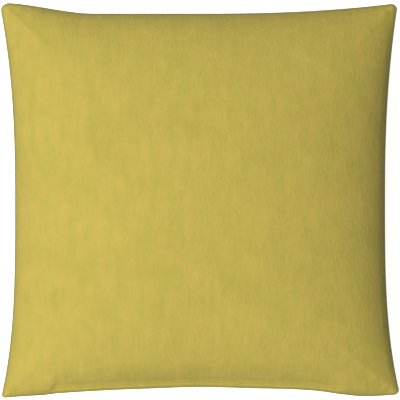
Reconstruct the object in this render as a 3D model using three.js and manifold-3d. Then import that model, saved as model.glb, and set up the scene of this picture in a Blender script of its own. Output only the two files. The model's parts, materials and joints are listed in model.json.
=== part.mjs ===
// A zipped throw pillow lying on its back: a velvet cover over a stuffed insert.
// Millimetres, +Z up. The origin is on the surface under the middle of the cover; the side
// with the zip faces -Y. "Depth" is how far a thing lies inside the cover's outline, and
// "level" is its height above the plane of the seam that joins the two panels.
import * as THREE from "three";
import { mergeVertices } from "three/addons/utils/BufferGeometryUtils.js";
import Module from "manifold-3d";

const wasm = await Module();
wasm.setup();

// ---- Driving dimensions ----
const COVER_WIDTH = 444; // along X, corner to corner before the corners are blunted by 2 mm each
const COVER_LENGTH = 440; // the same along Y
const SIDE_PULL = 17.5; // how far the middle of a side draws in between its corners
const SIDE_POWER = 2.3; // how late the drawing-in starts, measured from the corner
const ZIP_SIDE_PULL = 13; // the same for the zipped side, which is a plain arc
// How far each form is cut back at its corners, and how close to the corner the cut stays.
const CORNER = {
  cover: { cut: 3, power: 30 },
  inCover: { cut: 16, power: 8 },
  allowance: { cut: 12, power: 8 },
  insert: { cut: 14, power: 4 },
  inInsert: { cut: 22, power: 4 },
};
const SEAM_LEVEL = 64; // height of the seam plane above the floor
const FRONT_RISE = 70; // crown of the front panel above the seam plane
const BACK_RISE = 68; // crown of the back panel, before the floor flattens it
const COVER_POWER = 0.6; // 0.5 is an ellipse, larger is sharper at the rim
const GAP = 0.3; // clear space between pieces that touch
const GRID = 12; // facets across a soft piece

const COVER_CLOTH = 1.2;
const COVER_ALLOWANCE = 10; // width of the seam allowance turned inside
const CASING_CLOTH = 0.8;
const CASING_ALLOWANCE = 5;
const CASING_DEPTH = 14.5; // outline of the insert inside the outline of the cover
const CASING_CLEARANCE = 2; // between the two crowns
const CASING_POWER = 0.55;
const THREAD_BULK = 1.5; // width of the cover's band of overlocked thread
const CASING_THREAD_BULK = 1;
const THREAD = 0.4; // thickness of one line of stitches

const SLIT_LEFT = -165; // ends of the opening in the zipped side
const SLIT_RIGHT = 158;
const SLIT_HALF = 2.6; // half the width of the opening between the two folded lips
const BAR_TACK = 2.1; // length of the stitches that close each end of the slit
const TAPE = { near: 7.6, far: 8.2, low: 0.8, high: 7 };
const COIL = { near: 5.6, far: 7.3, low: 0.8, high: 2.6 };
const LIP_END = 12; // the folded allowance stops this far from the ends of the slit
const FOLDS = [
  { near: 1.5, far: 3.7, low: SLIT_HALF, high: 3.7 }, // the lip
  { near: 1.5, far: 3.7, low: 3.6, high: 5.9 }, // the step that clears the slider
  { near: 3.6, far: 7.3, low: 4.8, high: 5.9 }, // the run in to the tape
  { near: 6.2, far: 7.3, low: 5.8, high: 6.8 }, // the end that lies against the tape
];
const SLIT_CUT = { near: -3, far: 12.8 }; // takes away the lip, the rim and the whole allowance
const ZIP_ROOM = { near: 0, far: 20, low: -10, high: 10 }; // the overlocking keeps out of this
const ZIP_STITCH_LEVEL = 6;
const BAR_TACK_BAND = { near: 0.8, far: 3.4 };
const COIL_SPARE = { left: 0.5, right: 1 }; // coil beyond the slider at each end of its travel
const STOP_LENGTH = 2.5;
const SLIDER_X = 133; // middle of the slider when the zip is closed
const SLIDER_OPEN_X = -143.5; // and when it is open
const SLIDER = {
  half: 4.75, // half its length
  mouth: 4.2, // half its width at the end where the coils enter
  tail: 3.5, // half its width at the end where they leave joined
  outer: { near: 4.2, far: 5.2 },
  inner: { near: 8.6, far: 9.5 },
  rail: { low: 3.1, far: 7.1 },
  neck: { from: 1, to: 4, half: 0.45 },
  tailBevel: 1,
  mouthBevel: { along: 2, across: 1.5 },
};
const BAIL = { half: 3.5, bar: 0.8, width: 0.9, near: 1.6 };
const PULL = { depth: 3.3, length: 18.5, half: 2.1, thick: 1.1, window: 4.4, leg: 0.8 };
const LABEL = { long: 30, near: 4.5, far: 11.5, level: 1.9, thick: 0.5 };
const INSERT_LABEL = { ...LABEL, near: 7, far: 13.5 };
const CARE_LABEL_Y = -100;
const INSERT_LABEL_Y = 90;
const CLOSING_STITCH = { from: -60, to: 60, near: 13.2, far: 13.8 };
const FILLING_ROOM = 1; // between the casing's wall and the fibre
const ARC_STEP = 24; // length of one facet along the zipped side
const ROUND_SEGMENTS = 8; // facets of a small half round
const OVERLAP = 0.1; // solids of one piece run this far into each other

// ---- Colours and finishes ----
const cloth = (color, roughness) => ({ color, roughness, metalness: 0 });
const FINISH = {
  velvet: cloth(0xb9ab4f, 0.9),
  casing: cloth(0xf2f0ea, 0.85),
  fibre: cloth(0xfbfbf8, 1),
  tape: cloth(0x9a8f3f, 0.8),
  nylon: cloth(0x9a9040, 0.45),
  thread: cloth(0xa89c48, 0.7),
  white_thread: cloth(0xf5f4f0, 0.7),
  label: cloth(0xf7f7f5, 0.5),
  metal: { color: 0xb9bcc0, roughness: 0.3, metalness: 1 },
};

// ---- Solids ----
function solidOf(geometry) {
  const bare = geometry.index ? geometry : geometry.clone();
  bare.deleteAttribute("normal");
  bare.deleteAttribute("uv");
  const merged = mergeVertices(bare, 1e-4);
  const mesh = new wasm.Mesh({
    numProp: 3,
    vertProperties: merged.attributes.position.array,
    triVerts: new Uint32Array(merged.index.array),
  });
  return new wasm.Manifold(mesh);
}

function geometryOf(solid) {
  const { vertProperties, triVerts } = solid.getMesh();
  const geometry = new THREE.BufferGeometry();
  geometry.setAttribute("position", new THREE.BufferAttribute(vertProperties, 3));
  geometry.setIndex(new THREE.BufferAttribute(triVerts, 1));
  geometry.computeVertexNormals();
  return geometry;
}

const join = (...solids) => solids.reduce((all, one) => all.add(one));
const cut = (solid, ...tools) => tools.reduce((left, tool) => left.subtract(tool), solid);

// ---- The cushion's form ----
const crowd = (t) => Math.sin((Math.PI / 2) * t); // closer grid lines towards the rim

function outline(u, v, depth, corner) {
  const drawX = SIDE_PULL * (1 - Math.abs(v) ** SIDE_POWER);
  const drawY = v < 0 ? ZIP_SIDE_PULL * (1 - u * u) : SIDE_PULL * (1 - Math.abs(u) ** SIDE_POWER);
  const tuck = corner.cut * Math.abs(u * v) ** corner.power;
  return [
    u * (COVER_WIDTH / 2 - depth - drawX - tuck),
    v * (COVER_LENGTH / 2 - depth - drawY - tuck),
  ];
}

const crown = (u, v, power) => ((1 - u * u) * (1 - v * v)) ** power;

// A cushion form between two faces; each face is {level, rise}, and neither goes below the floor.
function lens({ depth, corner }, lower, upper, power, floor) {
  const box = new THREE.BoxGeometry(2, 2, 2, GRID, GRID, 1);
  const points = box.attributes.position;
  for (let i = 0; i < points.count; i++) {
    const u = crowd(points.getX(i));
    const v = crowd(points.getY(i));
    const face = points.getZ(i) > 0 ? upper : lower;
    const height = SEAM_LEVEL + face.level + face.rise * crown(u, v, power);
    points.setXYZ(i, ...outline(u, v, depth, corner), Math.max(floor, height));
  }
  return solidOf(box);
}

// One half of a cushion: flat at the seam, domed on the side that "side" points to (+1 or -1).
function dome(side, plan, { level, rim, rise, power, floor }) {
  const flat = { level: side * level, rise: 0 };
  const domed = { level: side * (level + rim), rise: side * rise };
  return side > 0 ? lens(plan, flat, domed, power, floor) : lens(plan, domed, flat, power, floor);
}

const slab = (plan, half) => lens(plan, { level: -half, rise: 0 }, { level: half, rise: 0 }, 1, 0);

// The whole form that a sewn half fills out, from its seam to its crown.
function stuffed(side, { depth, corner, cloth: thick, rise, power, floor }) {
  const level = GAP / 2;
  const size = { level, rim: thick, rise: rise - level - thick, power, floor };
  return dome(side, { depth, corner }, size);
}

// A sewn half: a domed cloth wall whose seam allowance is turned in along the seam plane.
function sewnHalf(side, size) {
  const { depth, cloth: thick, allowance, inCorner, atCorner, rise, power, floor } = size;
  const rim = thick / 2;
  const level = GAP / 2;
  const hollow = dome(side, { depth: depth + thick, corner: inCorner }, {
    level: level + thick,
    rim,
    rise: rise - level - 2 * thick - rim,
    power,
    floor: floor + thick,
  });
  const plan = { depth: depth + thick + allowance, corner: atCorner };
  const opening = slab(plan, level + thick + rim / 2);
  return cut(stuffed(side, size), hollow, opening);
}

// A band of overlocked thread round the edges of two allowances.
function overlock({ depth, corner }, bulk, half) {
  return cut(slab({ depth, corner }, half), slab({ depth: depth + bulk, corner }, 2 * half));
}

// ---- The zipped side, an arc about a far centre ----
const ARC_RADIUS = (COVER_WIDTH / 2) ** 2 / (2 * ZIP_SIDE_PULL);
const ARC_CENTRE_Y = -(COVER_LENGTH / 2 - ZIP_SIDE_PULL) - ARC_RADIUS;
const angleOf = (x) => Math.asin(x / ARC_RADIUS);

// A bar along the zipped side, from one X to another, between two depths and two levels.
function arcBar(from, to, { near, far, low, high }) {
  const start = Math.PI / 2 - angleOf(to);
  const end = Math.PI / 2 - angleOf(from);
  const shape = new THREE.Shape();
  shape.absarc(0, ARC_CENTRE_Y, ARC_RADIUS + far, start, end, false);
  shape.absarc(0, ARC_CENTRE_Y, ARC_RADIUS + near, end, start, true);
  const facets = (to - from) / ARC_STEP;
  const bar = new THREE.ExtrudeGeometry(shape, {
    depth: high - low,
    curveSegments: Math.max(1, Math.round(facets / 2)), // an arc gets twice as many facets
    bevelEnabled: false,
  });
  bar.translate(0, 0, SEAM_LEVEL + low);
  return solidOf(bar);
}

const onSide = (side, band) =>
  side > 0 ? band : { ...band, low: -band.high, high: -band.low };

// ---- Cover ----
const SLIT = { ...SLIT_CUT, low: -SLIT_HALF, high: SLIT_HALF };

// In the slit the allowance turns back from the lip, clears the slider and lies on the tape.
function foldedLip(side) {
  const from = SLIT_LEFT + LIP_END;
  const to = SLIT_RIGHT - LIP_END;
  return join(...FOLDS.map((fold) => arcBar(from, to, onSide(side, fold))));
}

function coverPanel(side, rise) {
  const size = {
    depth: 0,
    corner: CORNER.cover,
    inCorner: CORNER.inCover,
    atCorner: CORNER.allowance,
    cloth: COVER_CLOTH,
    allowance: COVER_ALLOWANCE,
    rise,
    power: COVER_POWER,
    floor: 0,
  };
  const open = cut(sewnHalf(side, size), arcBar(SLIT_LEFT, SLIT_RIGHT, SLIT));
  return join(open, foldedLip(side).intersect(stuffed(side, size)));
}

function coverOverlock() {
  const depth = COVER_CLOTH + COVER_ALLOWANCE + GAP;
  const band = overlock({ depth, corner: CORNER.allowance }, THREAD_BULK, COVER_CLOTH);
  return cut(band, arcBar(SLIT_LEFT, SLIT_RIGHT, ZIP_ROOM));
}

// ---- Insert ----
function casingPanel(side, rise) {
  return sewnHalf(side, {
    depth: CASING_DEPTH,
    corner: CORNER.insert,
    inCorner: CORNER.inInsert,
    atCorner: CORNER.inInsert,
    cloth: CASING_CLOTH,
    allowance: CASING_ALLOWANCE,
    rise: rise - CASING_CLEARANCE,
    power: CASING_POWER,
    floor: CASING_CLEARANCE,
  });
}

const CASING_THREAD_DEPTH = CASING_DEPTH + CASING_CLOTH + CASING_ALLOWANCE + GAP;

function insertOverlock() {
  const plan = { depth: CASING_THREAD_DEPTH, corner: CORNER.inInsert };
  return overlock(plan, CASING_THREAD_BULK, CASING_THREAD_BULK);
}

function filling() {
  const depth = CASING_THREAD_DEPTH + CASING_THREAD_BULK + GAP;
  const inset = CASING_CLEARANCE + CASING_CLOTH + FILLING_ROOM;
  const rim = CASING_THREAD_BULK;
  return lens(
    { depth, corner: CORNER.inInsert },
    { level: -rim, rise: -(BACK_RISE - inset - rim) },
    { level: rim, rise: FRONT_RISE - inset - rim },
    CASING_POWER,
    inset,
  );
}

// ---- Zip: fixed pieces ----
const COIL_LEFT = SLIDER_OPEN_X - SLIDER.half - COIL_SPARE.left;
const COIL_RIGHT = SLIDER_X + SLIDER.half + COIL_SPARE.right;

const zipTape = (side) =>
  arcBar(SLIT_LEFT + BAR_TACK, SLIT_RIGHT - BAR_TACK, onSide(side, TAPE));

const zipCoil = (side) => arcBar(COIL_LEFT, COIL_RIGHT, onSide(side, COIL));

function zipStitch(side) {
  const near = TAPE.far + GAP;
  const low = ZIP_STITCH_LEVEL;
  const line = { near, far: near + THREAD, low, high: low + THREAD };
  return arcBar(SLIT_LEFT + 2 * BAR_TACK, SLIT_RIGHT - 2 * BAR_TACK, onSide(side, line));
}

function bottomStop() {
  const right = COIL_LEFT - GAP;
  const stop = { ...COIL, low: -COIL.high, high: COIL.high };
  return arcBar(right - STOP_LENGTH, right, stop);
}

function topStop(side) {
  const left = COIL_RIGHT + GAP;
  return arcBar(left, left + STOP_LENGTH, onSide(side, COIL));
}

function barTack(left) {
  const stitches = { ...BAR_TACK_BAND, low: -(SLIT_HALF - GAP), high: SLIT_HALF - GAP };
  return arcBar(left, left + BAR_TACK - GAP, stitches);
}

// ---- Zip: moving pieces, about the point of the arc where the slider is ----
function block(x0, x1, y0, y1, z0, z1) {
  const box = new THREE.BoxGeometry(x1 - x0, y1 - y0, z1 - z0);
  box.translate((x0 + x1) / 2, (y0 + y1) / 2, (z0 + z1) / 2);
  return solidOf(box);
}

// An outline drawn on the face of the zip, X along it and Y across it, made a plate.
function plate(shape, near, far) {
  const made = new THREE.ExtrudeGeometry(shape, {
    depth: far - near,
    bevelEnabled: false,
    curveSegments: ROUND_SEGMENTS,
  });
  made.rotateX(-Math.PI / 2);
  made.translate(0, near, 0);
  return solidOf(made);
}

function sliderPlate({ near, far }) {
  const { half, mouth, tail, tailBevel, mouthBevel } = SLIDER;
  const edge = [
    [-half, tail - tailBevel],
    [-half + tailBevel, tail],
    [half - mouthBevel.along, mouth],
    [half, mouth - mouthBevel.across],
  ];
  const mirrored = edge.map(([x, y]) => [x, -y]);
  const corners = [...mirrored, ...edge.reverse()];
  const shape = new THREE.Shape(corners.map(([x, y]) => new THREE.Vector2(x, y)));
  return plate(shape, near, far);
}

function zipSlider() {
  const { outer, inner, rail, neck, half, tail, tailBevel, mouthBevel } = SLIDER;
  const rails = [-1, 1].map((side) =>
    block(
      -half + tailBevel, half - mouthBevel.along, outer.far - OVERLAP, rail.far,
      ...(side > 0 ? [rail.low, tail] : [-tail, -rail.low]),
    ),
  );
  const bail = cut(
    block(-BAIL.half, BAIL.half, BAIL.near, outer.near + OVERLAP, -BAIL.width, BAIL.width),
    block(
      -BAIL.half + BAIL.bar, BAIL.half - BAIL.bar, BAIL.near + BAIL.bar, outer.near,
      -2 * BAIL.width, 2 * BAIL.width,
    ),
  );
  const post = block(
    neck.from, neck.to, outer.far - OVERLAP, inner.near + OVERLAP, -neck.half, neck.half,
  );
  return join(sliderPlate(outer), sliderPlate(inner), post, bail, ...rails);
}

function pullTab() {
  const { length, half, thick, window, leg } = PULL;
  const tip = -length + half;
  const shape = new THREE.Shape();
  shape.moveTo(thick / 2, -half);
  shape.lineTo(thick / 2, half);
  shape.lineTo(tip, half);
  shape.absarc(tip, 0, half, Math.PI / 2, (3 * Math.PI) / 2, false);
  shape.closePath();
  const hole = new THREE.Path();
  hole.moveTo(-thick / 2, -half + leg);
  hole.lineTo(-window, -half + leg);
  hole.lineTo(-window, half - leg);
  hole.lineTo(-thick / 2, half - leg);
  hole.closePath();
  const eye = new THREE.Path();
  eye.absarc(tip, 0, half / 2, 0, 2 * Math.PI, true);
  shape.holes.push(hole, eye);
  return plate(shape, -thick / 2, thick / 2);
}

// ---- Labels, folded flat on the seam allowance ----
function label(side, middleY, { long, near, far, level, thick }) {
  const v = middleY / (COVER_LENGTH / 2);
  const [rimX] = outline(1, v, 0, CORNER.cover);
  const [x0, x1] = side > 0 ? [rimX - far, rimX - near] : [-rimX + near, -rimX + far];
  const low = SEAM_LEVEL + level;
  return block(x0, x1, middleY - long / 2, middleY + long / 2, low, low + thick);
}

// ---- Assembly ----
function piece(name, solid, finish) {
  const mesh = new THREE.Mesh(geometryOf(solid), new THREE.MeshStandardMaterial(FINISH[finish]));
  mesh.name = name;
  return mesh;
}

function cover() {
  const group = new THREE.Group();
  group.add(
    piece("front_panel", coverPanel(1, FRONT_RISE), "velvet"),
    piece("back_panel", coverPanel(-1, BACK_RISE), "velvet"),
    piece("overlock_thread", coverOverlock(), "thread"),
    piece("care_label", label(-1, CARE_LABEL_Y, LABEL), "label"),
  );
  return group;
}

function insert() {
  const group = new THREE.Group();
  group.add(
    piece("insert_front_panel", casingPanel(1, FRONT_RISE), "casing"),
    piece("insert_back_panel", casingPanel(-1, BACK_RISE), "casing"),
    piece("insert_filling", filling(), "fibre"),
    piece("insert_overlock_thread", insertOverlock(), "white_thread"),
    piece(
      "insert_closing_stitch",
      arcBar(CLOSING_STITCH.from, CLOSING_STITCH.to, { ...CLOSING_STITCH, low: -THREAD, high: THREAD }),
      "white_thread",
    ),
    piece("insert_label", label(1, INSERT_LABEL_Y, INSERT_LABEL), "label"),
  );
  return group;
}

function zip() {
  const group = new THREE.Group();
  for (const [name, side] of [["front", 1], ["back", -1]]) {
    group.add(
      piece(`zip_tape_${name}`, zipTape(side), "tape"),
      piece(`zip_coil_${name}`, zipCoil(side), "nylon"),
      piece(`zip_top_stop_${name}`, topStop(side), "metal"),
      piece(`zip_stitch_${name}`, zipStitch(side), "thread"),
    );
  }
  group.add(
    piece("zip_bottom_stop", bottomStop(), "metal"),
    piece("bar_tack_left", barTack(SLIT_LEFT + GAP / 2), "thread"),
    piece("bar_tack_right", barTack(SLIT_RIGHT - BAR_TACK + GAP / 2), "thread"),
    slider(),
  );
  return group;
}

// The slider and its pull, turned about the arc's centre to where the closed zip leaves them.
function slider() {
  const turn = new THREE.Group();
  turn.position.set(0, ARC_CENTRE_Y, SEAM_LEVEL);
  turn.rotation.z = -angleOf(SLIDER_X);
  const body = piece("zip_slider", zipSlider(), "metal");
  body.position.y = ARC_RADIUS;
  const pull = piece("zip_pull_tab", pullTab(), "metal");
  pull.position.y = ARC_RADIUS + PULL.depth;
  turn.add(body, pull);
  return turn;
}

const pillow = new THREE.Group();
pillow.add(cover(), insert(), zip());
export default pillow;
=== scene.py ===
# %% [markdown]
# # A zipped velvet throw pillow
# A throw pillow is two squares of velvet sewn face to face, turned right side out and
# stuffed with a smaller casing full of fibre. One side holds a zip, so that the cover comes
# off for washing. In this lesson each of those pieces is made separately and put where it
# belongs, around a fixed frame that gives the sizes and the moving bodies.

# %% Load the frame
import json
import math
import bpy
import numpy as np
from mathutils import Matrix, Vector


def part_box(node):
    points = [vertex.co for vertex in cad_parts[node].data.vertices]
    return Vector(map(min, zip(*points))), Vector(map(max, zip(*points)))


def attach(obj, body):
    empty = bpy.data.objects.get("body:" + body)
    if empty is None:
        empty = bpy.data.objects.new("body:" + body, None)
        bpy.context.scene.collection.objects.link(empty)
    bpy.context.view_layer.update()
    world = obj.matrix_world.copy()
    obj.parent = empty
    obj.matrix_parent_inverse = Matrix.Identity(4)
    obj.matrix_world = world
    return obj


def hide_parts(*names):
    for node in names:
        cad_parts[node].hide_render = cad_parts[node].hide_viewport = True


MM = 0.001
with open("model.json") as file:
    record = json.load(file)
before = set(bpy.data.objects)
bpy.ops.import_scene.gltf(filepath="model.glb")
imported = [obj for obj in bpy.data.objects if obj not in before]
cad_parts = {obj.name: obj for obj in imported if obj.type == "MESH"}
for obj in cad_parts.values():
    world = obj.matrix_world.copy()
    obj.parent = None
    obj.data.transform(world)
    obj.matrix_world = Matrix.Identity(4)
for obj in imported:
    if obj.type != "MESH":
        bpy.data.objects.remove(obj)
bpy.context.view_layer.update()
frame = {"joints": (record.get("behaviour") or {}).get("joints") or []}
scene = bpy.context.scene

# %% [markdown]
# ## Where things are
# The frame says where the seam plane lies and where the centre of the zipped side's arc is:
# the slider's joint turns about it. Everything else is measured in two ways. "Depth" is how
# far a point lies inside the outline, and "level" is its height above the seam plane.

# %% The seam plane and the arc of the zipped side
zip_joint = next(joint for joint in frame["joints"] if joint["name"] == "zip_travel")
pull_joint = next(joint for joint in frame["joints"] if joint["name"] == "pull_swing")
ARC_CENTRE_Y, SEAM = zip_joint["pos_m"][1:]
PULL_DEPTH = 3.3 * MM  # the pull's pin lies this deep inside the arc
ARC_RADIUS = math.dist(pull_joint["pos_m"][:2], zip_joint["pos_m"][:2]) - PULL_DEPTH
SLIDER_ANGLE = math.asin(pull_joint["pos_m"][0] / (ARC_RADIUS + PULL_DEPTH))
SLIDER_AT = SLIDER_ANGLE * ARC_RADIUS  # where the slider stands, measured along the arc
SLIT = (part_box("bar_tack_left")[0].x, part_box("bar_tack_right")[1].x)
print("seam at", round(SEAM / MM, 2), "arc radius", round(ARC_RADIUS / MM, 1), "mm")
print("slit from", [round(x / MM, 1) for x in SLIT], "slider at", round(SLIDER_AT / MM, 1))

# %% [markdown]
# ## Camera
# A cushion is usually shown square on. This one lies on its back, so the camera hangs
# straight above it. A long lens keeps the perspective gentle, and its distance is worked
# out so that the cushion's corners just touch the frame.

# %% Camera above the cushion
VIEW_WIDTH = 440 * MM
VIEW_MIDDLE = (0, -0.8 * MM)
camera = bpy.data.objects.new("camera", bpy.data.cameras.new("camera"))
scene.collection.objects.link(camera)
camera.data.lens = 100
camera_height = VIEW_WIDTH * camera.data.lens / camera.data.sensor_width
camera.location = (*VIEW_MIDDLE, SEAM + camera_height)
scene.camera = camera
print("camera", round(camera_height, 3), "m above the seam")

# %% [markdown]
# ## Studio
# The cushion lies in a white cove: a round floor that curves up into a wall, so that no
# horizon shows. The cove glows a little, like a light table, and throws no light back on the
# cushion, or the white would wash out the shade at its rim. One long soft lamp stands high on
# the left, parallel to the cushion's left side, and a weak sky fills in the rest.

# %% Floor and lamps
def close_edit():
    bpy.ops.object.mode_set(mode="OBJECT")


def edit_all():
    """Opens the active mesh in edit mode with all of it selected."""
    bpy.ops.object.mode_set(mode="EDIT")
    bpy.ops.mesh.select_all(action="SELECT")


def deselect():
    """Operators act on everything that is selected, so each step starts from nothing."""
    bpy.ops.object.select_all(action="DESELECT")


def apply_place():
    """Moves the place, turn and size of the selected object into its mesh."""
    bpy.ops.object.transform_apply(location=True, rotation=True, scale=True)


def edit_none(kind):
    """Opens the active mesh in edit mode, ready to select its edges or faces."""
    bpy.ops.object.mode_set(mode="EDIT")
    bpy.ops.mesh.select_mode(type=kind)
    bpy.ops.mesh.select_all(action="DESELECT")


def pick(piece, kind, rule):
    """Selects the edges (by their ends) or faces (by centre and normal) that pass a rule."""
    edit_none(kind)
    close_edit()
    if kind == "EDGE":
        points = piece.data.vertices
        for edge in piece.data.edges:
            edge.select = rule(*(points[end].co for end in edge.vertices))
    else:
        for face in piece.data.polygons:
            face.select = rule(face.center, face.normal)
    bpy.ops.object.mode_set(mode="EDIT")


def soft_lamp(name, place, length, width, power, color):
    """An oblong area lamp that looks at the middle of the cushion, its length level."""
    lamp = bpy.data.lights.new(name, "AREA")
    lamp.shape = "RECTANGLE"
    lamp.size = length
    lamp.size_y = width
    lamp.energy = power
    lamp.color = color
    holder = bpy.data.objects.new(name, lamp)
    scene.collection.objects.link(holder)
    holder.location = place
    aim = -holder.location.normalized()
    holder.rotation_euler = aim.to_track_quat("-Z", "Y").to_euler()
    return holder


def white_cove(radius, wall, curve):
    """A round floor whose edge curves up into a wall, open at the top."""
    deselect()
    bpy.ops.mesh.primitive_cylinder_add(
        vertices=96, radius=radius, depth=wall, location=(0, 0, wall / 2 - 0.5 * MM)
    )
    cove = bpy.context.object
    cove.name = "floor"
    apply_place()
    pick(cove, "EDGE", lambda a, b: max(a.z, b.z) < wall / 2)
    bpy.ops.mesh.bevel(offset=curve, segments=12)
    pick(cove, "FACE", lambda centre, normal: centre.z > 0.99 * wall)
    bpy.ops.mesh.delete(type="FACE")
    bpy.ops.mesh.select_all(action="SELECT")
    bpy.ops.mesh.flip_normals()
    close_edit()
    bpy.ops.object.shade_smooth()
    cove.visible_diffuse = False
    cove.visible_shadow = False
    return cove


floor = white_cove(radius=2.6, wall=2.6, curve=0.7)
soft_lamp(
    "key_lamp", place=(-0.9, -0.14, 1.85), length=4.2, width=0.8, power=64, color=(1, 0.955, 0.87)
)
world = bpy.data.worlds.new("sky")
scene.world = world
world.use_nodes = True
sky = world.node_tree.nodes["Background"]
sky.inputs["Color"].default_value = (0.98, 1, 0.96, 1)
sky.inputs["Strength"].default_value = 0.26
scene.view_settings.view_transform = "Standard"
print("floor", len(floor.data.polygons), "faces")

# %% [markdown]
# ## The outline of the stuffed cover
# A flat square of cloth turns into a cushion whose sides draw in between the corners,
# because the cloth has to climb over the filling. Each side is described by its distance
# from the middle, and by how its two halves rise towards their corners: a power of 2 is a
# plain curve, and a higher one keeps the rise near the corner.

# %% The four sides
def ease(t):
    """0 below 0, 1 above 1, and smooth between them."""
    t = np.clip(t, 0, 1)
    return t * t * (3 - 2 * t)


def side_line(s, middle, before, after):
    """Distance of a side from the middle; s runs from -1 to 1 along it."""
    return middle + np.where(s < 0, before(np.abs(s)), after(np.abs(s)))


def power_rise(rise, power):
    return lambda s: rise * s**power


def late_rise(rise, start, end):
    return lambda s: rise * ease((s - start) / (end - start))


def notched_rise(s):
    """The left half of the zipped side: a plain curve with a small step where the zip ends."""
    step = ease((s - 0.735) / 0.03) * (1 - ease((s - 0.78) / 0.2))
    return (1.0 * ease(s / 0.3) + 11.6 * s**2 + 1.0 * step) * MM


def bulged_rise(s):
    """The right half of the zipped side: a plain curve that bulges past the slider."""
    bulge = np.exp(-(((s - 0.8) / 0.17) ** 2))
    return (1.0 * ease(s / 0.3) + 6.5 * s**2 + 5.2 * bulge) * MM


LEFT = lambda v: side_line(v, 203.3 * MM, power_rise(15.5 * MM, 3.3), power_rise(17.2 * MM, 2.5))
RIGHT = lambda v: side_line(v, 203.3 * MM, power_rise(16.8 * MM, 3.2), power_rise(14.4 * MM, 2.4))
TOP = lambda u: side_line(u, 204 * MM, late_rise(12 * MM, 0.52, 1), power_rise(11.6 * MM, 2.4))
ZIPPED = lambda u: side_line(u, 206 * MM, notched_rise, bulged_rise)
CORNER_RADII = {(-1, -1): 6 * MM, (-1, 1): 12 * MM, (1, -1): 8 * MM, (1, 1): 9.5 * MM}


def outline(u, v, depth=0.0):
    """Plan position of the point u, v (each from -1 to 1) of a form this deep inside the rim."""
    left, right = LEFT(v) - depth, RIGHT(v) - depth
    low, high = ZIPPED(u) - depth, TOP(u) - depth
    x = (right - left) / 2 + u * (right + left) / 2
    y = (high - low) / 2 + v * (high + low) / 2
    return x, y


def blunt(x, y, depth=0.0, extra=0.0):
    """Turns the square corners of a form into round ones, with a radius larger by extra."""
    for (side_x, side_y), tight in CORNER_RADII.items():
        radius = tight + extra
        tip_x, tip_y = outline(np.float64(side_x), np.float64(side_y), depth)
        p = (x - tip_x) * side_x / radius + 1
        q = (y - tip_y) * side_y / radius + 1
        inside = (p > 0) & (q > 0)
        p, q = np.clip(p, 0, 1.2), np.clip(q, 0, 1.2)
        round_p = p * np.sqrt(1 - np.minimum(q, 1) ** 2 / 2)
        round_q = q * np.sqrt(1 - np.minimum(p, 1) ** 2 / 2)
        x = np.where(inside, tip_x + side_x * radius * (round_p - 1), x)
        y = np.where(inside, tip_y + side_y * radius * (round_q - 1), y)
    return x, y


middles = [outline(u, v) for u, v in ((-1.0, 0.0), (1.0, 0.0), (0.0, -1.0), (0.0, 1.0))]
print("middles of the sides:", [tuple(round(float(c) / MM, 1) for c in m) for m in middles])

# %% [markdown]
# ## Stuffing the panel
# A panel is cut flat, 450 mm square, and its rim is sewn down on a shorter outline. When
# the filling pushes, the cloth can hardly stretch, so it crowns. The cloth solver does just
# that: the vertices of the rim are pinned, the flat square is the rest shape, and pressure
# stands for the filling. A second way would be a formula for the crown; here it only gives
# the cloth the shape it starts from.

# %% Inflate one panel
CUT = 450 * MM
CELLS = 72
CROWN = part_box("front_panel")[1].z - SEAM
RIM_LEVEL = 1.6 * MM
SLIT_RIM_LEVEL = 3.9 * MM


def vertex_array(mesh):
    """The places of a mesh's vertices, one row each."""
    flat = np.zeros(len(mesh.vertices) * 3)
    mesh.vertices.foreach_get("co", flat)
    return flat.reshape(-1, 3)


def set_vertices(mesh, places):
    mesh.vertices.foreach_set("co", np.asarray(places, dtype=np.float32).ravel())
    mesh.update()


def slit_share(x, outside=0.0):
    """0 where the rim is sewn shut and 1 where the two lips of the slit lie open."""
    run = 7.5 * MM
    return ease((x - SLIT[0] + outside) / run) * ease((SLIT[1] + outside - x) / run)


def rim_level(x, v):
    return RIM_LEVEL + (SLIT_RIM_LEVEL - RIM_LEVEL) * slit_share(x) * (v < -0.999)


def add_grid(u_lines, v_lines):
    """A square grid with this many lines each way, and the column and row of each vertex."""
    deselect()
    bpy.ops.mesh.primitive_grid_add(
        x_subdivisions=len(u_lines) - 1, y_subdivisions=len(v_lines) - 1, size=2
    )
    grid = bpy.context.object
    places = vertex_array(grid.data)
    column = np.rint((places[:, 0] + 1) / 2 * (len(u_lines) - 1)).astype(int)
    row = np.rint((places[:, 1] + 1) / 2 * (len(v_lines) - 1)).astype(int)
    return grid, column, row


def pin_rim(grid, u, v):
    rim = grid.vertex_groups.new(name="rim")
    edge = (np.abs(u) > 0.9999) | (np.abs(v) > 0.9999)
    rim.add([int(i) for i in np.where(edge)[0]], 1.0, "REPLACE")


def stuff(grid, pressure, frames):
    """Adds Cloth with pressure for the filling and steps it, then returns where the cloth is."""
    cloth = grid.modifiers.new("cloth", "CLOTH")
    settings = cloth.settings
    settings.quality = 6
    settings.mass = 0.3
    settings.tension_stiffness = settings.compression_stiffness = 15
    settings.shear_stiffness = 5
    settings.bending_stiffness = 0.5
    settings.air_damping = 2
    settings.use_pressure = True
    settings.uniform_pressure_force = pressure
    settings.effector_weights.gravity = 0
    settings.vertex_group_mass = "rim"
    settings.rest_shape_key = grid.data.shape_keys.key_blocks["flat"]
    cloth.collision_settings.use_collision = False
    cloth.point_cache.frame_start = 1
    cloth.point_cache.frame_end = frames
    for step in range(1, frames + 1):
        scene.frame_set(step)
    evaluated = grid.evaluated_get(bpy.context.evaluated_depsgraph_get())
    places = vertex_array(evaluated.data)
    scene.frame_set(1)
    return places


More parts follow.
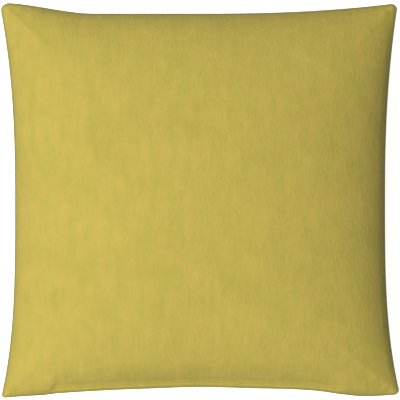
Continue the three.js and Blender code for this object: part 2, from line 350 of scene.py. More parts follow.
def crowned_panel():
    """The stuffed panel as a square table of points, level measured from the seam plane."""
    lines = np.linspace(-1, 1, CELLS + 1)
    grid, column, row = add_grid(lines, lines)
    u, v = lines[column], lines[row]
    x, y = outline(u, v)
    dome = np.sqrt(np.clip((1 - u * u) * (1 - v * v), 0, 1))
    start = np.stack([x, y, rim_level(x, v) + 0.9 * (CROWN - RIM_LEVEL) * dome], axis=1)
    places = start
    set_vertices(grid.data, start)
    grid.shape_key_add(name="sewn")
    flat = grid.shape_key_add(name="flat")
    cut = np.stack([u, v, 0 * u], axis=1) * CUT / 2
    flat.data.foreach_set("co", cut.astype(np.float32).ravel())
    flat.value = 0
    pin_rim(grid, u, v)
    places = stuff(grid, pressure=8, frames=30)
    table = np.zeros((CELLS + 1, CELLS + 1, 3))
    table[row, column] = places
    bpy.data.objects.remove(grid)
    return table


panel = crowned_panel()
rise = panel[..., 2].max()
panel[..., 2] *= 1 + (CROWN / rise - 1) * np.clip(panel[..., 2] / (20 * MM), 0, 1)
print("the panel crowns to", round(rise / MM, 1), "mm, set to", round(CROWN / MM, 1), "mm")

# %% [markdown]
# ## From the simulation to a fine sheet
# The simulation runs on a coarse grid, which is quick. The finished panel needs close rows
# only near its rim, where the cloth rolls over and where the zip is topstitched. So the
# coarse table is read again at chosen lines with a curve through its points, instead of
# subdividing it evenly everywhere.

# %% Read the simulated table at any lines
RIM_ROWS = [
    0, 0.5, 1.1, 1.8, 2.7, 3.7, 4.7, 5.5, 6.1, 6.6, 7.1, 7.7, 8.6, 10, 12, 14.5, 17.5, 21, 25
]


def lines_of(rim_rows, pitch):
    """Grid lines from -1 to 1: close rows at both rims, given in mm, and an even pitch between."""
    rim = np.array(rim_rows) * MM / (CUT / 2) - 1
    inner = np.linspace(rim[-1], -rim[-1], round(-rim[-1] * CUT / pitch) + 1)
    return np.concatenate([rim[:-1], inner, -rim[-2::-1]])


def read_rows(table, lines):
    """A smooth curve through each column of the table, read at the given lines."""
    last = len(table) - 1
    place = (lines + 1) / 2 * last
    cell = np.clip(np.floor(place), 0, last - 1).astype(int)
    t = (place - cell)[:, None, None]
    ends = 2 * table[:1] - table[1:2], 2 * table[-1:] - table[-2:-1]
    longer = np.concatenate([ends[0], table, ends[1]])
    a, b, c, d = (longer[cell + step] for step in range(4))
    return b + t / 2 * (c - a + t * (2 * a - 5 * b + 4 * c - d + t * (3 * (b - c) + d - a)))


def read_panel(u_lines, v_lines):
    rows = read_rows(panel, v_lines)
    return read_rows(rows.transpose(1, 0, 2), u_lines).transpose(1, 0, 2)


fine_lines = lines_of(RIM_ROWS, 2.7 * MM)
fine_panel = read_panel(fine_lines, fine_lines)
print("fine sheet:", len(fine_lines), "lines each way")

# %% [markdown]
# ## The topstitched lip
# Along the slit the velvet is folded back and sewn through to the zip's tape about 6 mm
# from the fold. The stitches hold that strip nearly flat, and the cushion only starts to
# swell behind them. The rows of the sheet near the fold are moved to that shape, and the
# rows behind follow them less and less.

# %% Flatten the lip and press the furrow
LIP_CLOTH = 6.6 * MM
LIP_DEPTH = 6.0 * MM
LIP_RISE = 3.9 * MM
FURROW = {"deep": 0.3 * MM, "wide": 1 * MM}
PUCKER = {"high": 0.22 * MM, "pitch": 9 * MM, "reach": 7 * MM}


def topstitched(table, u_lines, v_lines):
    cloth = ((v_lines + 1) * CUT / 2)[:, None]
    share = slit_share(table[..., 0])
    along = np.clip(cloth / LIP_CLOTH, 0, 1)
    target = table.copy()
    target[..., 1] = -ZIPPED(u_lines)[None, :] + LIP_DEPTH * along
    target[..., 2] = SLIT_RIM_LEVEL + LIP_RISE * np.sin(along * math.pi / 2)
    seam_row = read_rows(table, np.array([LIP_CLOTH / (CUT / 2) - 1]))
    follow = 1 - ease((cloth - LIP_CLOTH) / (32 * MM))
    behind = table + (target - seam_row) * follow[..., None]
    lip = np.where((cloth <= LIP_CLOTH)[..., None], target, behind)
    made = table + (lip - table) * share[..., None]
    dip = FURROW["deep"] * np.exp(-(((cloth - LIP_CLOTH) / FURROW["wide"]) ** 2))
    made[..., 2] -= dip * share
    return made


def puckered(table, u_lines, v_lines):
    """The small waves that a row of stitches draws into the cloth beside it."""
    made = table.copy()
    to_side = (1 - np.abs(u_lines))[None, :] * CUT / 2
    to_end = (1 - np.abs(v_lines))[:, None] * CUT / 2
    for reach, along in ((to_side, table[..., 1]), (to_end, table[..., 0])):
        near = reach / PUCKER["reach"]
        wave = np.sin(along * 2 * math.pi / PUCKER["pitch"] + 2.5 * np.sin(along / (21 * MM)))
        made[..., 2] += PUCKER["high"] * wave * near * np.exp(1 - near)
    return made


cover_sheet = puckered(topstitched(fine_panel, fine_lines, fine_lines), fine_lines, fine_lines)
cover_sheet[..., 0], cover_sheet[..., 1] = blunt(cover_sheet[..., 0], cover_sheet[..., 1])
print("lip flattened from", [round(x / MM) for x in SLIT])

# %% [markdown]
# ## Folding the rim under
# At the seam each panel rolls over and its allowance lies flat against the other one's. In
# the slit the allowance turns back, steps past the slider and runs in to the tape. Both
# are drawn as a short list of depths and levels in millimetres. The open edge of the sheet
# is extruded once for each step, and the new vertices are moved there.

# %% Extrude the rim step by step
SEWN_STEPS = [(0.12, 1), (0.45, 0.5), (0.95, 0.22), (1.6, 0.15), (3, 0.15), (5, 0.15), (7, 0.15),
              (9, 0.15), (11.2, 0.15)]
LIP_STEPS = [(0.12, 3.3), (0.5, 2.85), (1.1, 2.65), (2.3, 2.75), (3.3, 3.5), (3.75, 4.7),
             (5, 4.9), (7, 4.95), (7.3, 6)]
VELVET = 1.2 * MM


def arc_y(x, depth):
    """Where the zipped side's arc runs, this deep inside it."""
    return ARC_CENTRE_Y + np.sqrt((ARC_RADIUS + depth) ** 2 - x**2)


def sewn_step(u, v, step, inset=0.0, scale=1.0, extra=0.0):
    depth, level = (number * MM * scale for number in SEWN_STEPS[step])
    x, y = outline(u, v, inset + depth)
    x, y = blunt(x, y, inset + depth, extra + 0.6 * depth)
    return x, y, level + 0 * x


SNIPPED = 0.62  # how much of the allowance is left beside the ends of the zip


def cover_step(u, v, step):
    x, y, level = sewn_step(u, v, step)
    snip = slit_share(x, outside=10 * MM) * (v < -0.999) * (1 - SNIPPED)
    y = y + (-ZIPPED(u) - y) * snip
    lip_depth, lip_level = (number * MM for number in LIP_STEPS[step])
    fold_y = -ZIPPED(u) + lip_depth
    deep = ease((lip_depth - 1 * MM) / (2 * MM))
    lip_y = fold_y + (arc_y(x, lip_depth) - fold_y) * deep
    share = slit_share(x) * (v < -0.999)
    return x, y + (lip_y - y) * share, level + (lip_level - level) * share


def extrude_rim(piece):
    """Extrudes the open edge in place and returns the numbers of the new vertices."""
    before = len(piece.data.vertices)
    edit_none("EDGE")
    bpy.ops.mesh.select_non_manifold(use_wire=False, use_multi_face=False, use_verts=False)
    bpy.ops.mesh.extrude_region_move()
    close_edit()
    return np.arange(before, len(piece.data.vertices))


def remember(piece, name, values):
    """Keeps a number for each vertex, which an extruded copy inherits."""
    layer = piece.data.attributes.new(name, "FLOAT", "POINT")
    layer.data.foreach_set("value", np.asarray(values, dtype=np.float32))


def recall(piece, name):
    values = np.zeros(len(piece.data.vertices), dtype=np.float32)
    piece.data.attributes[name].data.foreach_get("value", values)
    return values.astype(float)


def height(level, side, floor):
    """Height of a level on the front (+1) or the back (-1) half, which rests on the floor."""
    soft = 1.2 * MM
    above = SEAM + side * level - floor
    return floor + soft * np.log1p(np.exp(above / soft))


def apply_all(piece):
    """Applies every modifier of a piece, in order."""
    bpy.context.view_layer.objects.active = piece
    for modifier in list(piece.modifiers):
        bpy.ops.object.modifier_apply(modifier=modifier.name)


def face_outwards(piece):
    edit_all()
    bpy.ops.mesh.normals_make_consistent(inside=False)
    close_edit()


def count_triangles(piece):
    return sum(len(face.vertices) - 2 for face in piece.data.polygons)


def sewn_panel(name, side, sheet, lines, step_rule, thick, floor):
    """A sheet with its rim folded under and its thickness added, as one closed body."""
    piece, column, row = add_grid(lines, lines)
    piece.name = piece.data.name = name
    points = sheet[row, column]
    points[:, 2] = height(points[:, 2], side, floor)
    set_vertices(piece.data, points)
    remember(piece, "u", lines[column])
    remember(piece, "v", lines[row])
    for step in range(len(SEWN_STEPS)):
        new = extrude_rim(piece)
        u, v = recall(piece, "u")[new], recall(piece, "v")[new]
        x, y, level = step_rule(u, v, step)
        places = vertex_array(piece.data)
        places[new] = np.stack([x, y, height(level, side, floor)], axis=1)
        set_vertices(piece.data, places)
    if side < 0:
        edit_all()
        bpy.ops.mesh.flip_normals()
        close_edit()
    u, v = recall(piece, "u"), recall(piece, "v")
    to_rim = (1 - np.maximum(np.abs(u), np.abs(v))) * CUT / 2
    # Painted shade along the seam: a number that is 1 at the rim and fades within a few mm, by which
    # the velvet's colour is darkened there.
    remember(piece, "crushed", np.exp(-((to_rim / (2.2 * MM)) ** 2)))
    wall = piece.modifiers.new("wall", "SOLIDIFY")
    wall.thickness = thick
    wall.offset = -1
    apply_all(piece)
    bpy.ops.object.shade_smooth()
    for attribute in ("u", "v"):
        piece.data.attributes.remove(piece.data.attributes[attribute])
    print(name, count_triangles(piece), "triangles")
    return piece


def seat(piece, body, node):
    """Puts a finished piece on its body, in place of its plain node."""
    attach(piece, body)
    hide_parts(node)


velvets = []
for word, side in (("front", 1), ("back", -1)):
    velvet_panel = sewn_panel(f"{word}_velvet", side, cover_sheet, fine_lines, cover_step, VELVET, 0)
    seat(velvet_panel, "cover", f"{word}_panel")
    velvets.append(velvet_panel)

# %% [markdown]
# ## Shader sums
# A pattern is easier to read as a sum than as a web of nodes. This small class wraps one
# socket, and adding or multiplying two of them adds the Math node. Every other node is made
# by one method, which sets the node's own settings first and its sockets second.

# %% A socket that does sums
class Value:
    def __init__(self, tree, socket=None):
        self.tree = tree
        self.socket = socket

    def node(self, kind, settings, sockets, output=0):
        made = self.tree.nodes.new(kind)
        for name, setting in settings.items():
            setattr(made, name, setting)
        for name, given in sockets.items():
            if isinstance(given, Value):
                self.tree.links.new(given.socket, made.inputs[name])
            else:
                made.inputs[name].default_value = given
        return Value(self.tree, made.outputs[output])

    def math(self, operation, first, second=0.0, clamp=False):
        settings = {"operation": operation, "use_clamp": clamp}
        return self.node("ShaderNodeMath", settings, {0: first, 1: second})

    def __add__(self, other):
        return self.math("ADD", self, other)

    def __radd__(self, other):
        return self.math("ADD", other, self)

    def __sub__(self, other):
        return self.math("SUBTRACT", self, other)

    def __rsub__(self, other):
        return self.math("SUBTRACT", other, self)

    def __mul__(self, other):
        return self.math("MULTIPLY", self, other)

    def __rmul__(self, other):
        return self.math("MULTIPLY", other, self)

    def sine(self):
        return self.math("SINE", self)

    def size(self):
        return self.math("ABSOLUTE", self)

    def clamped(self):
        return self.math("ADD", self, 0.0, clamp=True)


# %% [markdown]
# ## Patterns on the cloth
# All the finishes read Object coordinates, which are metres in the cushion's own frame. A
# Mapping node stretches them, so that one noise can give round clouds or long streaks.

# %% Helpers for patterns and finishes
def place_on(start, stretch=(1, 1, 1)):
    """Object coordinates, stretched along the axes."""
    place = start.node("ShaderNodeTexCoord", {}, {}, "Object")
    sockets = {"Vector": place, "Scale": stretch}
    return start.node("ShaderNodeMapping", {"vector_type": "POINT"}, sockets)


def noise(place, scale, detail=3.0, roughness=0.55):
    sockets = {"Vector": place, "Scale": scale, "Detail": detail, "Roughness": roughness}
    return place.node("ShaderNodeTexNoise", {}, sockets, "Fac")


def turns(start, pitch):
    """X, Y and Z as angles that make one full turn in each pitch, for the sines of threads."""
    place = place_on(start, stretch=[math.tau / pitch] * 3)
    return [place.node("ShaderNodeSeparateXYZ", {}, {0: place}, axis) for axis in "XYZ"]


def blend(start, factor, first, second):
    """Mixes two colours by a pattern or by a fixed share."""
    sockets = {0: factor, 6: first, 7: second}
    return start.node("ShaderNodeMix", {"data_type": "RGBA"}, sockets, 2)


def bump(start, height_value, distance, strength=1.0):
    sockets = {"Height": height_value, "Distance": distance, "Strength": strength}
    return start.node("ShaderNodeBump", {}, sockets)


def finish(name, paint):
    """A material whose Principled sockets come from paint(start)."""
    material = bpy.data.materials.new(name)
    material.use_nodes = True
    surface = material.node_tree.nodes["Principled BSDF"]
    for socket, given in paint(Value(material.node_tree)).items():
        if isinstance(given, Value):
            material.node_tree.links.new(given.socket, surface.inputs[socket])
        else:
            surface.inputs[socket].default_value = given
    print("finish:", name, len(material.node_tree.nodes), "nodes")
    return material


def wear(piece, material):
    piece.data.materials.clear()
    piece.data.materials.append(material)


# %% [markdown]
# ## Velvet
# Short pile stands up from the cloth and leans a little, so velvet is never one flat
# colour. Clouds and wider patches come from pile that was pressed one way or another, small
# specks from single tufts, and fine streaks run the way the cloth was brushed. Where the
# pile is seen from its side it catches light, which is what Sheen is for.

# %% The velvet's finish
PILE_DARK = (0.4, 0.332, 0.064, 1)
PILE_LIGHT = (0.555, 0.452, 0.099, 1)
PILE_OLIVE = (0.395, 0.365, 0.063, 1)
PILE_BROWN = (0.53, 0.4, 0.096, 1)
# The colour of the painted shade along the seam.
SEAM_SHADE_COLOR = (0.2, 0.19, 0.06, 1)
HUE_SHARE = 0.38  # how far the brushed patches pull the colour towards olive or brown


def velvet(start):
    place = place_on(start)
    brushed = place_on(start, stretch=(4, 1, 1))
    clouds = noise(place, 85, detail=4, roughness=0.6)
    patches = noise(place, 34, detail=3, roughness=0.5)
    broad = noise(place, 9, detail=2)
    tufts = noise(place, 800, detail=2)
    streaks = noise(brushed, 110, detail=3, roughness=0.6)
    lie = 0.3 * clouds + 0.2 * broad + 0.1 * tufts + 0.2 * streaks + 0.2 * patches
    light = ((lie - 0.3) * 2.6).clamped()
    color = blend(start, light, PILE_DARK, PILE_LIGHT)
    hue = ((noise(brushed, 30, detail=4) - 0.36) * 3.4).clamped()
    color = blend(start, HUE_SHARE, color, blend(start, hue, PILE_OLIVE, PILE_BROWN))
    # Painted shade: the velvet's colour is darkened towards the seam at its rim.
    crushed = start.node("ShaderNodeAttribute", {"attribute_name": "crushed"}, {}, "Fac")
    color = blend(start, 0.75 * crushed, color, SEAM_SHADE_COLOR)
    relief = 0.5 * clouds + 0.2 * tufts + 0.34 * streaks + 0.5 * patches
    return {
        "Base Color": color,
        "Roughness": 0.82 + 0.14 * clouds,
        "Normal": bump(start, relief, 1.5 * MM, 0.8),
        "Sheen Weight": 0.2,
        "Sheen Roughness": 0.5,
        "Sheen Tint": (0.7, 0.66, 0.3, 1),
        "Specular IOR Level": 0.1,
    }


velvet_finish = finish("velvet", velvet)
for velvet_panel in velvets:
    wear(velvet_panel, velvet_finish)


def white_floor(start):
    return {
        "Base Color": (0.9, 0.9, 0.9, 1),
        "Roughness": 0.95,
        "Emission Color": (1, 1, 1, 1),
        "Emission Strength": 0.8,
    }


wear(floor, finish("white_floor", white_floor))

# %% [markdown]
# ## The insert's casing
# Inside the cover lies a second, plainer cushion, sewn from thin white cloth. It is a little
# smaller, so its panels are the same stuffed shape drawn in at the sides and lowered at the
# crown. Its seam is turned in the same way, only narrower.

# %% Sew the casing from the same shape
CASING_DEPTH = 14.5 * MM
CASING_CLOTH = 0.8 * MM
CASING_FLOOR = 2.1 * MM
CASING_ROWS = [0, 1, 2.5, 4.5, 7, 10, 14, 19]
CASING_CORNER = 4 * MM
casing_lines = lines_of(CASING_ROWS, 4 * MM)


def shrunk_sheet(lines, depth, drop, rim):
    """The stuffed shape, drawn in to this depth, its crown lowered, its rim at a level."""
    sheet = read_panel(lines, lines)
    half_width, half_length = LEFT(0.0), (TOP(0.0) + ZIPPED(0.0)) / 2
    sheet[..., 0] *= 1 - depth / half_width
    sheet[..., 1] *= 1 - depth / half_length
    own_rim = rim_level(sheet[..., 0], np.where(lines < -0.999, -1.0, 0)[:, None])
    lower = (CROWN - drop - rim) / (CROWN - RIM_LEVEL)
    sheet[..., 2] = rim + np.maximum(sheet[..., 2] - own_rim, 0) * lower
    return sheet


def casing_sheet():
    sheet = shrunk_sheet(casing_lines, CASING_DEPTH, 2.6 * MM, 0.95 * MM)
    u, v = casing_lines[None, :], casing_lines[:, None]
    edge_x, edge_y = outline(u, v, CASING_DEPTH)
    near_rim = np.maximum(np.abs(u), np.abs(v)) ** 12
    sheet[..., 0] += (edge_x - sheet[..., 0]) * near_rim
    sheet[..., 1] += (edge_y - sheet[..., 1]) * near_rim
    sheet = puckered(sheet, casing_lines, casing_lines)
    sheet[..., 0], sheet[..., 1] = blunt(sheet[..., 0], sheet[..., 1], CASING_DEPTH, CASING_CORNER)
    return sheet


def casing_step(u, v, step):
    return sewn_step(u, v, step, inset=CASING_DEPTH, scale=0.6, extra=CASING_CORNER)


stuffed_casing = casing_sheet()
casing_panels = []
for word, side in (("front", 1), ("back", -1)):
    casing = sewn_panel(
        f"{word}_casing", side, stuffed_casing, casing_lines, casing_step, CASING_CLOTH, CASING_FLOOR
    )
    seat(casing, "cover", f"insert_{word}_panel")
    casing_panels.append(casing)

# %% [markdown]
# ## The fibre
# Loose polyester fills the casing. It is one soft lump: two more copies of the stuffed
# shape, joined at their rims, with clods pressed into the surface by two scales of noise.

# %% Fill the casing
FILLING_DEPTH = 22.5 * MM
FILLING_DROP = 5.2 * MM
FILLING_FLOOR = 4.2 * MM
filling_lines = lines_of([0, 1.5, 4, 8, 13], 4.5 * MM)


def filling_half(side):
    sheet = shrunk_sheet(filling_lines, FILLING_DEPTH, FILLING_DROP, 0.0)
    half, column, row = add_grid(filling_lines, filling_lines)
    points = sheet[row, column]
    x, y = blunt(points[:, 0], points[:, 1], FILLING_DEPTH, 12 * MM)
    set_vertices(half.data, np.stack([x, y, height(points[:, 2], side, FILLING_FLOOR)], axis=1))
    return half


def displace(piece, name, scale, strength):
    """Presses clouds of one size into a surface."""
    texture = bpy.data.textures.new(name, "CLOUDS")
    texture.noise_scale = scale
    clods = piece.modifiers.new(name, "DISPLACE")
    clods.texture = texture
    clods.texture_coords = "LOCAL"
    clods.strength = strength
    clods.mid_level = 1


def join_pieces(pieces):
    """Joins pieces into the first one of them."""
    deselect()
    for piece in pieces:
        piece.select_set(True)
    bpy.context.view_layer.objects.active = pieces[0]
    bpy.ops.object.join()
    return pieces[0]


filling = join_pieces([filling_half(1), filling_half(-1)])
filling.name = filling.data.name = "fibre_filling"
edit_all()
bpy.ops.mesh.remove_doubles(threshold=0.02 * MM)
close_edit()
face_outwards(filling)
displace(filling, "clods", 34 * MM, 2.6 * MM)
displace(filling, "tufts", 9 * MM, 1.2 * MM)
apply_all(filling)
bpy.ops.object.shade_smooth()
seat(filling, "cover", "insert_filling")
print("filling:", count_triangles(filling), "triangles")

# %% [markdown]
# ## The zip's bench
# The zip's pieces are long and repetitive, so each is made straight, as on a bench: X runs
# along the zip, Y is the depth and Z the level. When a piece is finished, its vertices are
# bent on to the arc of the cushion's side. A Curve modifier could do that too, but the
# formula is short and keeps every piece exactly where the slider expects it.

# %% Bend a straight piece on to the zipped side
def lay_on_arc(piece):
    places = vertex_array(piece.data)
    angle = places[:, 0] / ARC_RADIUS
    reach = ARC_RADIUS + places[:, 1]
    bent = [reach * np.sin(angle), ARC_CENTRE_Y + reach * np.cos(angle), SEAM + places[:, 2]]
    set_vertices(piece.data, np.stack(bent, axis=1))


def bench_box(name, low, high):
    """A box between two corners on the bench, with its place in its mesh."""
    deselect()
    middle = [(a + b) / 2 for a, b in zip(low, high)]
    size = [b - a for a, b in zip(low, high)]
    bpy.ops.mesh.primitive_cube_add(size=1, location=middle, scale=size)
    box = bpy.context.object
    box.name = box.data.name = name
    apply_place()
    return box


def soften(piece, width, segments=2, angle=30):
    """Rounds the sharp edges of a piece."""
    edge = piece.modifiers.new("edge", "BEVEL")
    edge.width = width
    edge.segments = segments
    edge.limit_method = "ANGLE"
    edge.angle_limit = math.radians(angle)
    apply_all(piece)


def shade_by_angle(piece, angle=40):
    deselect()
    piece.select_set(True)
    bpy.context.view_layer.objects.active = piece
    bpy.ops.object.shade_smooth_by_angle(angle=math.radians(angle))


def install(piece, body, node, material):
    """Shades a hard piece, gives it its finish and puts it on its body."""
    shade_by_angle(piece)
    wear(piece, material)
    seat(piece, body, node)
    print(piece.name, count_triangles(piece), "triangles")


print("100 mm of zip turn", round(math.degrees(100 * MM / ARC_RADIUS), 2), "degrees on the arc")

# %% [markdown]
# ## Finishes of the hidden pieces
# The casing is thin plain-woven cotton, the fibre is fluffy and matt, the tape is woven in
# ribs, and the coil is smooth nylon. Each weave has its thread's pitch.

# %% Casing, fibre, tape and coil
def woven(start, pitch):
    """Height of a plain weave: threads that pass over and under each other."""
    x, y, z = turns(start, pitch)
    return ((x + z).sine() * y.sine()).size()


def casing_cloth(start):
    place = place_on(start)
    weave = woven(start, 0.9 * MM)
    slub = noise(place_on(start, stretch=(12, 1, 1)), 120)
    color = blend(start, 0.5 * slub + 0.5 * weave, (0.74, 0.72, 0.67, 1), (0.9, 0.89, 0.86, 1))
    return {
        "Base Color": color,
        "Roughness": 0.78 + 0.12 * noise(place, 60),
        "Normal": bump(start, weave + 0.6 * slub, 0.25 * MM, 0.5),
        "Sheen Weight": 0.15,
        "Specular IOR Level": 0.2,
    }


def fibre(start):
    place = place_on(start)
    strands = noise(place_on(start, stretch=(1, 5, 2)), 260, detail=5, roughness=0.7)
    clods = noise(place, 40)
    color = blend(start, 0.6 * strands + 0.4 * clods, (0.78, 0.78, 0.76, 1), (0.95, 0.95, 0.94, 1))
    return {
        "Base Color": color,
        "Roughness": 0.85 + 0.12 * clods,
        "Normal": bump(start, strands, 2 * MM, 0.8),
        "Sheen Weight": 0.4,
        "Specular IOR Level": 0.1,
    }


def tape_cloth(start):
    x, _, z = turns(start, 0.8 * MM)
    ribs = (0.5 + 0.5 * (x + z).sine()) * (0.6 + 0.4 * (x - z).sine())
    fuzz = noise(place_on(start), 420)
    color = blend(start, 0.7 * ribs + 0.3 * fuzz, (0.17, 0.145, 0.03, 1), (0.33, 0.285, 0.07, 1))
    return {
        "Base Color": color,
        "Roughness": 0.7 + 0.2 * fuzz,
        "Normal": bump(start, ribs, 0.15 * MM, 0.7),
        "Sheen Weight": 0.1,
        "Specular IOR Level": 0.25,
    }


def nylon(start):
    place = place_on(start)
    tint = noise(place, 300)
    color = blend(start, tint, (0.25, 0.215, 0.05, 1), (0.36, 0.31, 0.085, 1))
    return {
        "Base Color": color,
        "Roughness": 0.3 + 0.2 * noise(place, 1400),
        "Normal": bump(start, noise(place, 2200), 0.04 * MM, 0.3),
        "Coat Weight": 0.15 + 0.1 * tint,
        "Coat Roughness": 0.2,
    }


casing_finish = finish("casing_cloth", casing_cloth)
fibre_finish = finish("fibre", fibre)
tape_finish = finish("zip_tape", tape_cloth)
coil_finish = finish("zip_coil", nylon)
for piece in casing_panels:
    wear(piece, casing_finish)
wear(filling, fibre_finish)

# %% [markdown]
# ## Metal, thread and label
# The zip's metal is plated, with fine scratches and a darker film where fingers don't rub.
# Thread is twisted from plies, which show as slanting ridges. The label is a satin ribbon
# with no print.

# %% Metal, thread and label
def plated(start):
    place = place_on(start)
    rub = noise(place, 180, detail=4)
    scratches = noise(place_on(start, stretch=(1, 8, 8)), 900, detail=2)
    color = blend(start, rub, (0.36, 0.36, 0.37, 1), (0.66, 0.66, 0.65, 1))
    return {
        "Base Color": color,
        "Metallic": 0.9 + 0.1 * rub,
        "Roughness": 0.2 + 0.22 * rub + 0.1 * scratches,
        "Normal": bump(start, scratches, 0.03 * MM, 0.3),
    }


def thread_rule(dark, light):
    def thread(start):
        x, y, z = turns(start, 0.7 * MM)
        plies = 0.5 + 0.5 * (x + y + 1.6 * z).sine()
        fuzz = noise(place_on(start), 700)
        return {
            "Base Color": blend(start, 0.6 * plies + 0.4 * fuzz, dark, light),
            "Roughness": 0.55 + 0.2 * fuzz,
            "Normal": bump(start, plies, 0.08 * MM, 0.6),
            "Sheen Weight": 0.2,
            "Specular IOR Level": 0.3,
        }

    return thread


def satin(start):
    x, y, _ = turns(start, 0.5 * MM)
    floats = 0.5 + 0.5 * (y + 0.5 * x).sine()
    wash = noise(place_on(start), 150)
    color = blend(start, 0.5 * floats + 0.5 * wash, (0.8, 0.8, 0.78, 1), (0.93, 0.93, 0.92, 1))
    return {
        "Base Color": color,
        "Roughness": 0.32 + 0.2 * wash,
        "Normal": bump(start, floats, 0.05 * MM, 0.5),
        "Sheen Weight": 0.1,
    }


metal_finish = finish("zip_metal", plated)
olive_thread = thread_rule((0.24, 0.2, 0.035, 1), (0.42, 0.36, 0.09, 1))
cover_thread_finish = finish("cover_thread", olive_thread)
pale_thread = thread_rule((0.7, 0.69, 0.66, 1), (0.92, 0.91, 0.89, 1))
white_thread_finish = finish("white_thread", pale_thread)
label_finish = finish("label_satin", satin)

# %% [markdown]
# ## Zip tapes
# Each half of the zip is sewn on a ribbed tape that stands upright behind the slit. A box
# is cut into short lengths so that it can bend, and its long edge beside the coil gets a
# beaded cord, as on a real tape.

# %% Two tapes
TAPE = {"near": 7.6 * MM, "far": 8.2 * MM, "low": 0.4 * MM, "high": 7 * MM}
ZIP_ENDS = (SLIT[0] + 1 * MM, SLIT[1] - 1 * MM)


def arc_length(x):
    """Distance along the zipped side from its middle to the point at this X."""
    return math.asin(x / ARC_RADIUS) * ARC_RADIUS


def levels(side, low, high):
    return sorted((side * low, side * high))


def bench_strip(name, ends, depths, level_pair, cuts=140):
    """A long thin box, cut across into short lengths."""
    low, high = zip(ends, depths, level_pair)
    strip = bench_box(name, low, high)
    pick(strip, "EDGE", lambda a, b: abs(a.x - b.x) > 1 * MM)
    bpy.ops.mesh.subdivide(number_cuts=cuts)
    close_edit()
    return strip


def zip_tape(name, side):
    ends = [arc_length(x) for x in ZIP_ENDS]
    level_pair = levels(side, TAPE["low"], TAPE["high"])
    tape = bench_strip(name, ends, (TAPE["near"], TAPE["far"]), level_pair)
    soften(tape, 0.12 * MM, angle=60)
    depths = TAPE["near"] - 0.2 * MM, TAPE["far"] + 0.2 * MM
    level_pair = levels(side, TAPE["low"] - 0.05 * MM, TAPE["low"] + 0.85 * MM)
    bead = bench_strip(name + "_bead", ends, depths, level_pair)
    soften(bead, 0.3 * MM, segments=3, angle=60)
    tape = join_pieces([tape, bead])
    lay_on_arc(tape)
    return tape


for word, side in (("front", 1), ("back", -1)):
    tape = zip_tape(f"{word}_zip_tape", side)
    install(tape, "cover", f"zip_tape_{word}", tape_finish)

# %% [markdown]
# ## Coils
# The zip's teeth are one nylon wire wound into a flat spiral on each tape. A small ring is
# swept along and round by the Screw modifier, which gives hundreds of turns from six
# vertices, and the spiral is then pressed to the height and depth of the real coil.

# %% Wind the coils
COIL = {"near": 5.6 * MM, "far": 7.4 * MM, "low": 0.35 * MM, "high": 2.5 * MM}
COIL_PITCH = 1.4 * MM
COIL_WIRE = 0.27 * MM


def winding(name, length, pitch, half_depth, half_level, wire, sides=5, steps=8):
    """A wire wound round the X axis, from 0 to about the given length, with closed ends."""
    deselect()
    bpy.ops.mesh.primitive_circle_add(vertices=sides, radius=wire, rotation=(math.pi / 2, 0, 0))
    ring = bpy.context.object
    ring.name = ring.data.name = name
    apply_place()
    edit_all()
    bpy.ops.transform.translate(value=(0, 0, half_level - wire))
    close_edit()
    turn = ring.modifiers.new("turn", "SCREW")
    turn.axis = "X"
    turn.screw_offset = pitch
    turn.iterations = round(length / pitch)
    turn.steps = turn.render_steps = steps
    apply_all(ring)
    edit_all()
    bpy.ops.mesh.fill_holes(sides=0)
    bpy.ops.mesh.normals_make_consistent(inside=False)
    squeeze = (half_depth - wire) / (half_level - wire)
    bpy.ops.transform.resize(value=(1, squeeze, 1), center_override=(0, 0, 0))
    close_edit()
    return ring


def shift(piece, offset):
    """Moves the mesh of a piece, whose object stays at the origin."""
    set_vertices(piece.data, vertex_array(piece.data) + np.array(offset))


def node_ends(node):
    """Where a node of the zip starts and ends, measured along the arc."""
    low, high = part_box(node)
    return arc_length(low.x), arc_length(high.x)


def zip_coil(name, side):
    start, end = node_ends("zip_coil_front")
    half_depth = (COIL["far"] - COIL["near"]) / 2
    half_level = (COIL["high"] - COIL["low"]) / 2
    length = end - start - COIL_PITCH
    coil = winding(name, length, COIL_PITCH, half_depth, half_level, COIL_WIRE)
    first = start + COIL_PITCH * (0.25 if side > 0 else 0.75)
    shift(coil, (first, COIL["near"] + half_depth, side * (COIL["low"] + half_level)))
    lay_on_arc(coil)
    return coil


for word, side in (("front", 1), ("back", -1)):
    coil = zip_coil(f"{word}_zip_coil", side)
    install(coil, "cover", f"zip_coil_{word}", coil_finish)

# %% [markdown]
# ## Stops
# A metal clamp closes each end of the coil, so that the slider can't run off. Each is a
# small block, its corners rounded, with the dent that the pressing tool leaves in its face.

# %% Press the stops
def zip_stop(name, node, level_pair):
    start, end = node_ends(node)
    stop = bench_box(name, (start, COIL["near"], level_pair[0]), (end, 7.3 * MM, level_pair[1]))
    pick(stop, "FACE", lambda centre, normal: normal.y < -0.9)
    bpy.ops.mesh.inset(thickness=0.45 * MM, depth=-0.25 * MM)
    close_edit()
    soften(stop, 0.22 * MM, segments=3)
    lay_on_arc(stop)
    return stop


STOP_LEVELS = {
    "zip_bottom_stop": (-2.6 * MM, 2.6 * MM),
    "zip_top_stop_front": (0.8 * MM, 2.6 * MM),
    "zip_top_stop_back": (-2.6 * MM, -0.8 * MM),
}
for node, level_pair in STOP_LEVELS.items():
    stop = zip_stop(node + "_clamp", node, level_pair)
    install(stop, "cover", node, metal_finish)

# %% [markdown]
# ## Slider
# The slider is a die casting: two plates joined by a narrow neck that wedges the coils
# apart, rails that guide them, and a bail that holds the pull. Each part is shaped alone,
# from a box or half a ring, and a boolean union makes them one solid.

# %% Cast the slider
SLIDER_HALF = 4.75 * MM
MOUTH, TAIL = 4.2 * MM, 3.5 * MM


